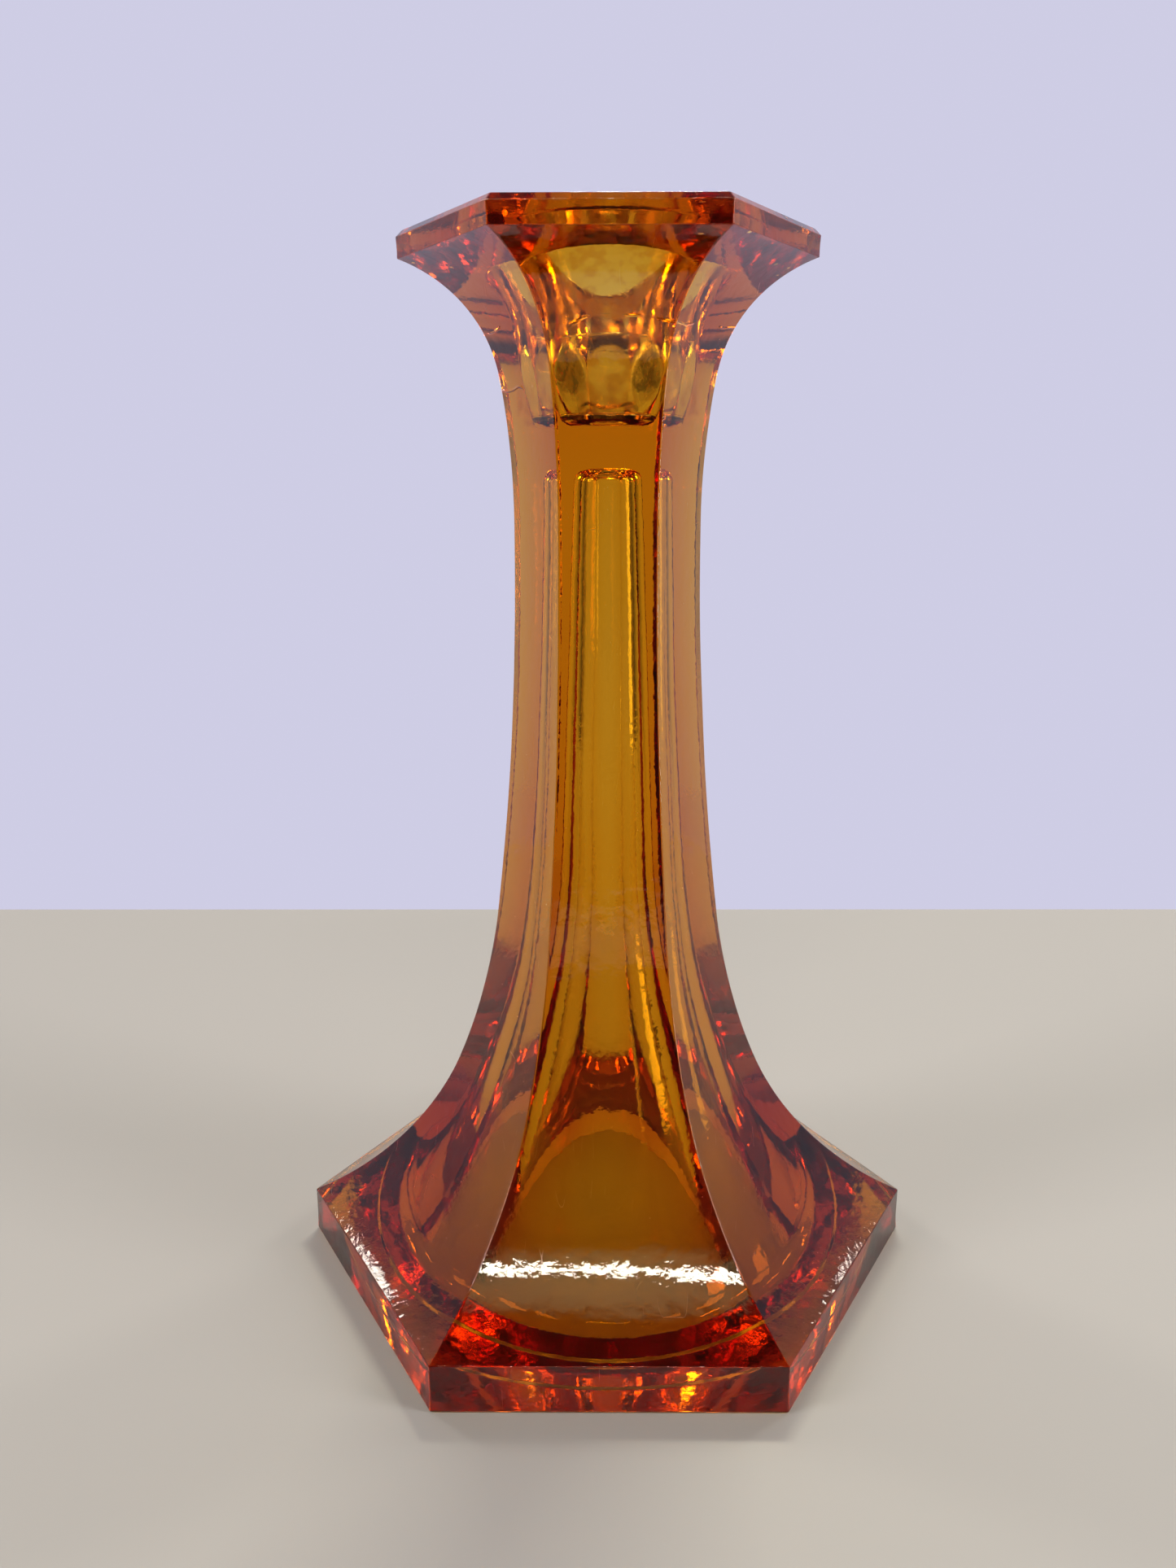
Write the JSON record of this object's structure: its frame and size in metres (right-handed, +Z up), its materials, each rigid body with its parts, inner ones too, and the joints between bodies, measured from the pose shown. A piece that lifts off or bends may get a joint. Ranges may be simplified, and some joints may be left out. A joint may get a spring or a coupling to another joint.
{
  "type": "glass candlestick",
  "caption": "Hexagonal pressed-glass candlestick with a spread foot, a hollow waisted stem, a flared rim and a panelled socket for a standard taper candle.",
  "frame": {"origin": "centre of the underside, on the table", "axes": "+Z up along the candlestick's axis; flat facets face +Y and -Y, ridges lie at +X and -X"},
  "size_m": [0.127, 0.11, 0.203],
  "materials": {
    "amber_glass": "clear amber pressed glass, fire-polished"
  },
  "bodies": {
    "root": {"glass_body": "amber_glass"}
  },
  "joints": []
}
